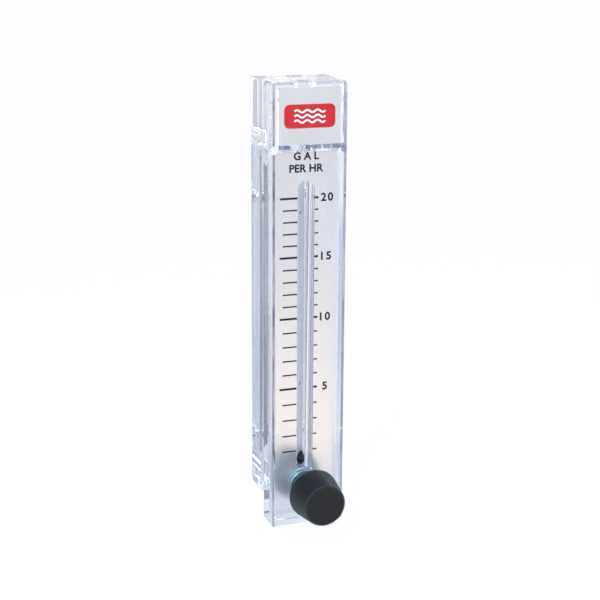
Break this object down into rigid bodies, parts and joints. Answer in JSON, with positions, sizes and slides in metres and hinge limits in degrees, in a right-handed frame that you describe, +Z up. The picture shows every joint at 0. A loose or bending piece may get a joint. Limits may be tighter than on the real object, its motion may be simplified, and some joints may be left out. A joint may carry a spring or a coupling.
{
  "type": "rotameter",
  "caption": "Clear block flow meter: tapered tube with a ball float, slotted scale plate, steel backbone with rear pipe ports, fluted metering valve knob.",
  "frame": {"origin": "middle of the two mounting screw holes, on the rear face", "axes": "+Z up along the flow tube, +Y to the rear out of the ports, +X to the right as seen from the front"},
  "size_m": [0.0376, 0.0577, 0.222],
  "materials": {
    "clear_plastic": "polished clear moulding",
    "brushed_aluminium": "fine brushed",
    "black_ink": "printed",
    "red_ink": "printed",
    "stainless_steel": "machined",
    "seal_rubber": "pale silicone, satin",
    "black_glass": "polished",
    "white_plastic": "satin",
    "black_plastic": "moulded satin",
    "aluminium": "turned"
  },
  "bodies": {
    "meter": {"body": "clear_plastic", "scale_plate": "brushed_aluminium", "graduations": "black_ink", "name_plate": "brushed_aluminium", "badge": "red_ink", "backbone": "stainless_steel", "inlet_o_ring": "seal_rubber", "outlet_o_ring": "seal_rubber", "backbone_screws": "stainless_steel", "tube_plug": "clear_plastic", "plug_o_ring": "seal_rubber", "float_seat": "white_plastic", "passage_plug": "stainless_steel", "valve_seat": "white_plastic", "valve_bonnet": "stainless_steel", "bonnet_o_ring": "seal_rubber"},
    "float": {"float_ball": "black_glass"},
    "stem": {"valve_stem": "stainless_steel", "stem_o_ring": "seal_rubber", "stem_clip": "stainless_steel"},
    "knob": {"knob": "black_plastic", "knob_insert": "aluminium", "knob_set_screw": "stainless_steel"}
  },
  "joints": [
    {"name": "float_rise", "type": "slide", "parent": "meter", "child": "float", "axis": [0, 0, 1], "range_m": [0, 0.1413]},
    {"name": "stem_travel", "type": "slide", "parent": "meter", "child": "stem", "axis": [0, -1, 0], "range_m": [-0.00278, 0.00119]},
    {"name": "knob_turn", "type": "hinge", "parent": "stem", "child": "knob", "pos_m": [0, -0.045, -0.0931], "axis": [0, -1, 0], "range_deg": [-1260, 540]}
  ],
  "couplings": [
    {"joint": "stem_travel", "follows": "knob_turn", "m_per_rad": 0.00012637}
  ]
}
